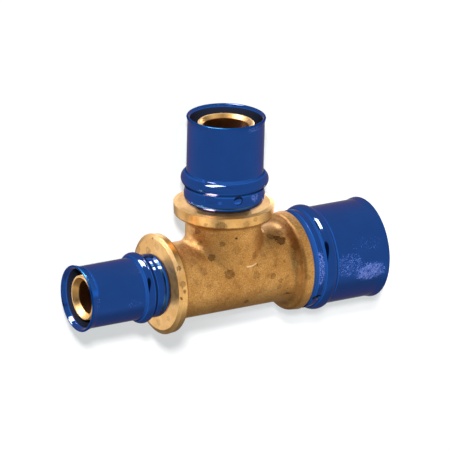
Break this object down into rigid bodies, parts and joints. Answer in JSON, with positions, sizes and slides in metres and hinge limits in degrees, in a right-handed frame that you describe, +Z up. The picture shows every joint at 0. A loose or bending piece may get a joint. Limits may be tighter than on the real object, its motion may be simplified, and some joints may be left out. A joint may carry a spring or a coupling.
{
  "type": "press tee",
  "caption": "Reducing press tee for multilayer pipe: a forged brass body with flanged, barbed spigots, O-ring seals, isolating rings and blue coated press sleeves on its ports.",
  "frame": {"origin": "bottom middle of the tee's box as it lies on its side; the axes of the run and of the branch cross 18.78 mm above it and 19.66 mm from it along -Y", "axes": "+X along the run towards the large port, +Y along the branch towards its open end, +Z up out of the surface the tee lies on, square to the plane of the axes"},
  "size_m": [0.1168, 0.0768, 0.0376],
  "materials": {
    "forged_brass": "satin, sand-grained hot forging with brown process stains; flange faces and spigot mouths turned bright",
    "blue_coating": "glossy deep blue coating on a thin drawn metal sleeve",
    "ring_plastic": "smooth moulded, dark blue",
    "seal_rubber": "black, smooth"
  },
  "bodies": {
    "root": {"tee_body": "forged_brass", "spigot_branch": "forged_brass", "press_sleeve_branch": "blue_coating", "isolating_ring_branch": "ring_plastic", "o_ring_branch_inner": "seal_rubber", "o_ring_branch_outer": "seal_rubber", "spigot_small": "forged_brass", "press_sleeve_small": "blue_coating", "isolating_ring_small": "ring_plastic", "o_ring_small_inner": "seal_rubber", "o_ring_small_outer": "seal_rubber", "spigot_large": "forged_brass", "press_sleeve_large": "blue_coating", "isolating_ring_large": "ring_plastic", "o_ring_large_inner": "seal_rubber", "o_ring_large_outer": "seal_rubber"}
  },
  "joints": []
}
